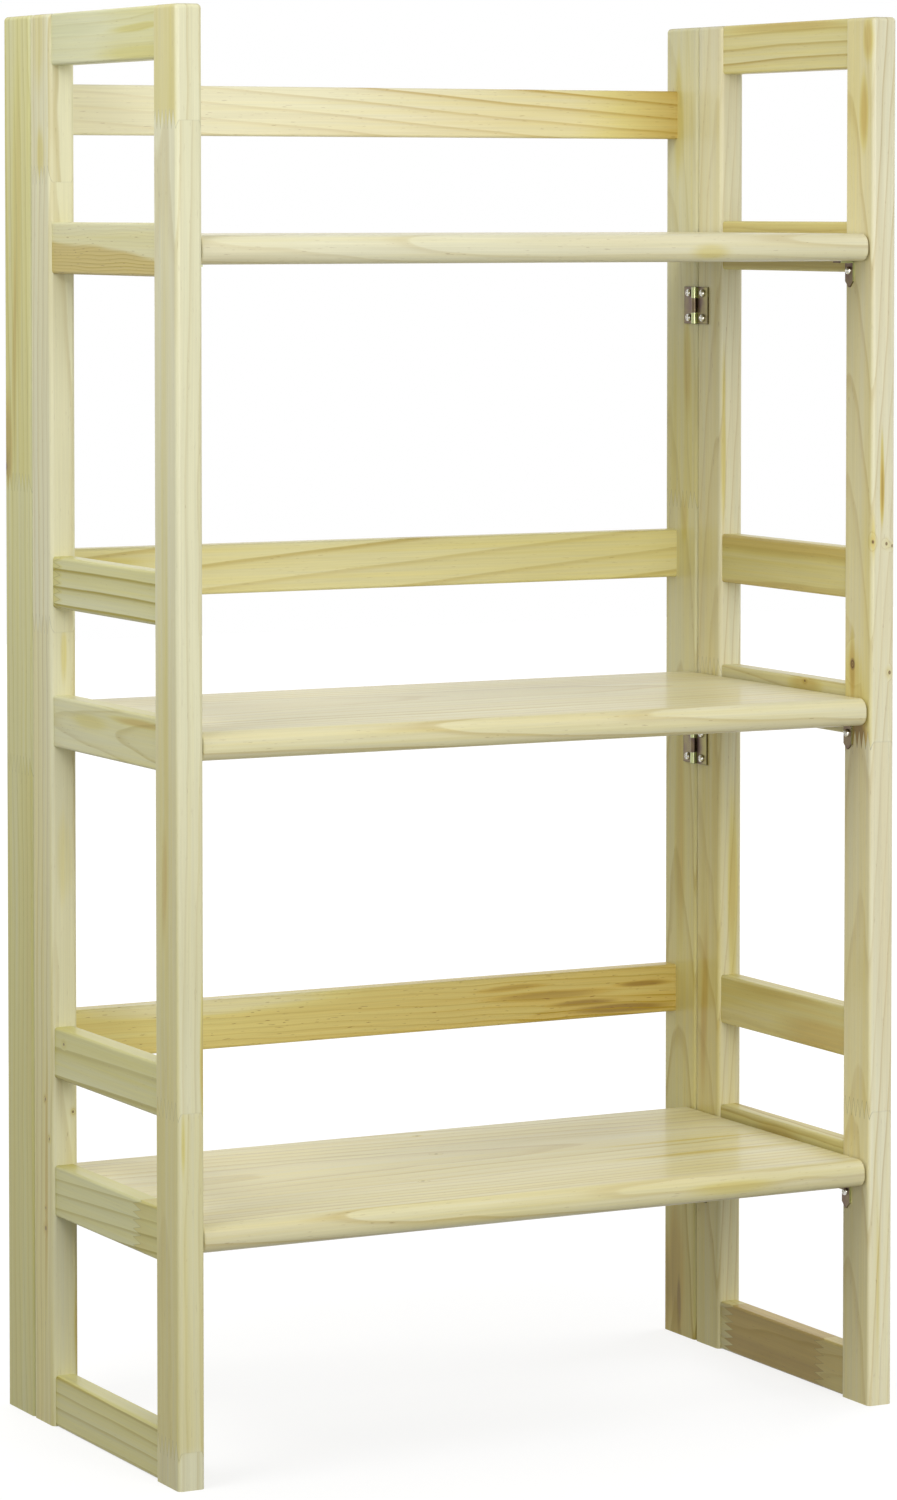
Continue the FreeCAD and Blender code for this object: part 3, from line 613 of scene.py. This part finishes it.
metals = {
    # clouds a metre, how far they fade, roughness, and the two colours they lie between
    "back_leaf": (90, 0.12, 0.32, paint(146, 138, 88), paint(112, 94, 88)),
    "frame_leaf": (90, 0.12, 0.32, paint(146, 138, 88), paint(112, 94, 88)),
    "bracket": (90, 0.12, 0.32, paint(146, 138, 88), paint(104, 85, 74)),
    "screws": (400, 0.15, 0.2, paint(220, 218, 210), paint(196, 194, 186)),
    "pin": (300, 0.15, 0.3, paint(170, 168, 162), paint(150, 148, 142)),
}

sheets = {
    # a sample, without its level, the least share of the second colour, how much the clouds add
    # to it and the olive part takes off it, and how much pale wear and painted highlight the bright part
    # takes
    "back_leaf": ("left_hinge_%s_back_leaf", 0.6, 0.4, 0.2, 0.0),
    "frame_leaf": ("left_hinge_%s_frame_leaf", 0.6, 0.4, 0.6, 0.85),
    "bracket": ("left_bracket_%s", 0.75, 0.3, 0.0, 0.9),
}


def sheetColour(graph, kind, cloud, colours):
    # the pieces like the sample share this, so along z it repeats from shelf to shelf
    sample, least, more, olive, wearAndHighlightShare = sheets[kind]
    low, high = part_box(sample % "bottom")
    middle = (low + high) / 2
    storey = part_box(sample % "middle")[0].z - low.z
    y, z = graph.place()[1:]
    up = ((z - middle.z + storey / 2) / storey).fraction() * storey - storey / 2
    rim = (high.z - low.z) / 2 - abs(up)
    rim = rim.math("MINIMUM", (high.y - low.y) / 2 - abs(y - middle.y))
    # painted shade along the rim of each piece
    paintedShade = 1 - rim.rise(0.0, metal["rimShadeWidth"])
    share = cloud * more + least
    if kind == "bracket":
        # a bracket's cut edges, which face along y, are painted pale and keep no rim shade
        bright = graph.facing()[1].rise(*metal["cutFacing"])
        paintedShade = paintedShade * (1 - bright) * metal["bracketRimShade"]
    else:
        radius = metal["knuckleRadius"]
        pinLine = low.y + radius if kind == "back_leaf" else high.y - radius
        fromPin = abs(y - pinLine)
        share = share - fromPin.rise(*metal["oliveReach"]) * olive
        fromScrew = distance(fromPin - metal["screwSetback"], abs(up) - metal["screwSpacing"] / 2)
        # and painted shade in a ring round each screw head
        paintedShade = paintedShade + 1 - fromScrew.rise(*metal["screwShadeRing"])
        # the knuckle round the pin is painted pale: partly a painted highlight, partly wear
        bright = 1 - (fromPin / radius).rise(*metal["knuckleEdge"])
    colour = graph.mix(share.clamped(), *colours)
    colour = graph.mix(bright * wearAndHighlightShare, colour, metal["wearAndHighlight"])
    # the colour darkened by the painted shade of the rim and the screw rings
    return graph.scaled(colour, 1 - paintedShade.clamped() * metal["edge"])


def metalMaterial(kind):
    clouds, fade, roughness, *colours = metals[kind]
    graph = Graph(bpy.data.materials.new("metal_" + kind))
    place = graph.place()
    cloud = graph.noise(*(axis * clouds for axis in place), metal["cloudDetail"])
    brush = graph.noise(*(axis * marks for axis, marks in zip(place, metal["brush"])))
    share = cloud.rise(-fade, fade)
    if kind in sheets:
        colour = sheetColour(graph, kind, share, colours)
    else:
        colour = graph.mix(share, *colours)
    surface = graph.node("BsdfPrincipled", None, {
        "Base Color": colour,
        "Metallic": 1.0,
        "Roughness": cloud * metal["cloudRoughness"] + brush * metal["brushRoughness"] + roughness,
        "Normal": graph.bump(*metal["bump"], brush),
    })
    return graph.finish(surface)


for kind in metals:
    # a kind is part of the names of its nodes, and bracket_screws end up with the other screws
    material = metalMaterial(kind)
    for name in nodes:
        if kind in name:
            assign(name, material)
print("metal:", len(metals), "finishes")


# the stage: a white floor that keeps a soft shadow near the bookcase
stage = {
    "floorSize": 12.0,
    "shadowReach": (0.5, 1.5),   # metres: the shadow shows inside the first, not past the second
    "shadowShare": 0.3,
    "white": (1, 1, 1, 1),
    "floorColour": (0.9, 0.9, 0.9, 1),      # as the camera sees it
    "bounceColour": (0.25, 0.25, 0.25, 1),  # as it lights the bookcase
    "floorGlow": 1.1,
    "ambient": 0.48,
}


def buildFloor():
    bpy.ops.mesh.primitive_plane_add(size=stage["floorSize"], location=(0, 0, 0))
    floor = bpy.context.object
    floor.name = "studio_floor"
    graph = Graph(bpy.data.materials.new("studio_floor"))
    apart = distance(*graph.place()[:2])
    shade = (1 - apart.rise(*stage["shadowReach"])) * stage["shadowShare"]
    seen = graph.ray("Camera")
    colour = graph.mix(seen, stage["bounceColour"], stage["floorColour"])
    plain = graph.node("BsdfDiffuse", None, {"Color": colour})
    glow = graph.node("Emission", None, {"Color": stage["white"], "Strength": stage["floorGlow"]})
    glowShare = (seen * (1 - shade) + graph.ray("Glossy")).clamped()
    surface = graph.node("MixShader", None, {0: glowShare, 1: plain, 2: glow})
    floor.data.materials.append(graph.finish(surface))


def buildWorld():
    # white where it is seen, straight or in a gloss, and dimmer as a light
    graph = Graph(bpy.data.worlds.new("studio"))
    seen = graph.ray("Camera").math("MAXIMUM", graph.ray("Glossy"))
    strength = seen * (1 - stage["ambient"]) + stage["ambient"]
    surface = graph.node("Background", None, {"Color": stage["white"], "Strength": strength})
    scene.world = graph.finish(surface, "World")


lamps = {
    # place, what it points at, size in metres, watts, and whether the gloss reflects it
    "key": ((-1.2, -0.35, 1.5), (-0.25, 0, 0.8), 0.7, 8.2, True),
    "front": ((-0.2, -2.2, 1.1), (0, 0, 0.6), 1.4, 27, True),
    "back": ((0.15, 2.3, 1.65), (0, 0, 0.6), 1.8, 25, False),
    "right": ((2.1, 0.4, 1.2), (0, 0, 0.5), 1.4, 17, False),
}


def buildLamps():
    for name, (place, target, size, power, inGloss) in lamps.items():
        data = bpy.data.lights.new(name, "AREA")
        data.size = size
        data.energy = power
        lamp = bpy.data.objects.new(name, data)
        scene.collection.objects.link(lamp)
        lamp.location = place
        lamp.rotation_euler = (Vector(target) - Vector(place)).to_track_quat("-Z", "Y").to_euler()
        lamp.visible_glossy = inGloss


cameraView = {
    "place": (-1.6691, -3.2035, 0.835),
    "turn": 27.505,      # degrees to the right of straight ahead
    "dip": 2.675,        # degrees below the horizon
    "lens": 125.4,       # millimetres, like the sensor's width
    "sensor": 36,
    "shift": -0.20,
}


def buildCamera():
    data = bpy.data.cameras.new("camera")
    data.lens = cameraView["lens"]
    data.sensor_width = cameraView["sensor"]
    data.shift_y = cameraView["shift"]
    camera = bpy.data.objects.new("camera", data)
    scene.collection.objects.link(camera)
    camera.location = cameraView["place"]
    turn = (90 - cameraView["dip"], 0, -cameraView["turn"])
    camera.rotation_euler = Euler([math.radians(degrees) for degrees in turn])
    scene.camera = camera


buildFloor()
buildWorld()
buildLamps()
buildCamera()
scene.view_settings.view_transform = "Standard"
print("stage, lamps and camera done")
